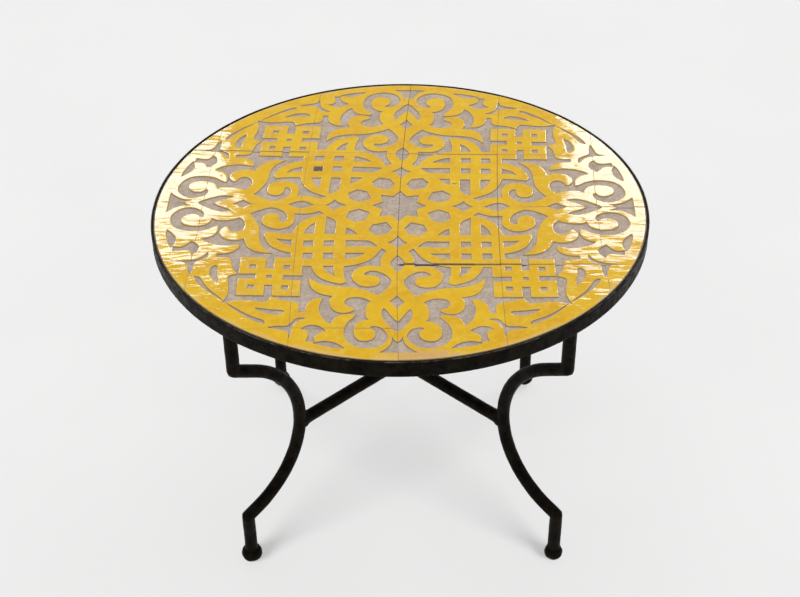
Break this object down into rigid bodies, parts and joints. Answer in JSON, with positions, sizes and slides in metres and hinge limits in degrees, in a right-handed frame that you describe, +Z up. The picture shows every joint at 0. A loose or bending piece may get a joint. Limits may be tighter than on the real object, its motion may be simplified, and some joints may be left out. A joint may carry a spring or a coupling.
{
  "type": "round tiled side table",
  "caption": "Round low table with a carved glazed tile top in an iron band, on a base of bowed rod legs with ball feet and an X stretcher.",
  "frame": {"origin": "on the floor under the middle of the rim band", "axes": "+Z up; X and Y along the rows of tiles; the front of the table is -Y"},
  "size_m": [0.5999, 0.6, 0.4275],
  "materials": {
    "glazed_tile": "clear golden yellow glaze left raised as the ornament, matte mauve-grey clay chiselled bare between",
    "grout": "matte sanded grout",
    "mortar": "rough grey mortar",
    "band_iron": "blackened flat bar, worn grey along the top edge",
    "forged_iron": "blackened forged rod, satin, slightly uneven"
  },
  "bodies": {
    "base": {"support_ring": "forged_iron", "leg_front_left": "forged_iron", "leg_front_right": "forged_iron", "leg_rear_left": "forged_iron", "leg_rear_right": "forged_iron", "stretcher_long": "forged_iron", "stretcher_front": "forged_iron", "stretcher_rear": "forged_iron", "foot_front_left": "forged_iron", "foot_front_right": "forged_iron", "foot_rear_left": "forged_iron", "foot_rear_right": "forged_iron"},
    "top": {"tile_a2": "glazed_tile", "tile_a3": "glazed_tile", "tile_a4": "glazed_tile", "tile_a5": "glazed_tile", "tile_b1": "glazed_tile", "tile_b2": "glazed_tile", "tile_b3": "glazed_tile", "tile_b4": "glazed_tile", "tile_b5": "glazed_tile", "tile_b6": "glazed_tile", "tile_c1": "glazed_tile", "tile_c2": "glazed_tile", "tile_c3": "glazed_tile", "tile_c4": "glazed_tile", "tile_c5": "glazed_tile", "tile_c6": "glazed_tile", "tile_d1": "glazed_tile", "tile_d2": "glazed_tile", "tile_d3": "glazed_tile", "tile_d4": "glazed_tile", "tile_d5": "glazed_tile", "tile_d6": "glazed_tile", "tile_e1": "glazed_tile", "tile_e2": "glazed_tile", "tile_e3": "glazed_tile", "tile_e4": "glazed_tile", "tile_e5": "glazed_tile", "tile_e6": "glazed_tile", "tile_f2": "glazed_tile", "tile_f3": "glazed_tile", "tile_f4": "glazed_tile", "tile_f5": "glazed_tile", "perimeter_grout": "grout", "mortar_bed": "mortar", "rim_band": "band_iron", "cross_bar_long": "forged_iron", "cross_bar_front": "forged_iron", "cross_bar_rear": "forged_iron"}
  },
  "joints": [
    {"name": "top_lift", "type": "slide", "parent": "base", "child": "top", "axis": [0, 0, 1], "range_m": [0, 0.1]}
  ]
}
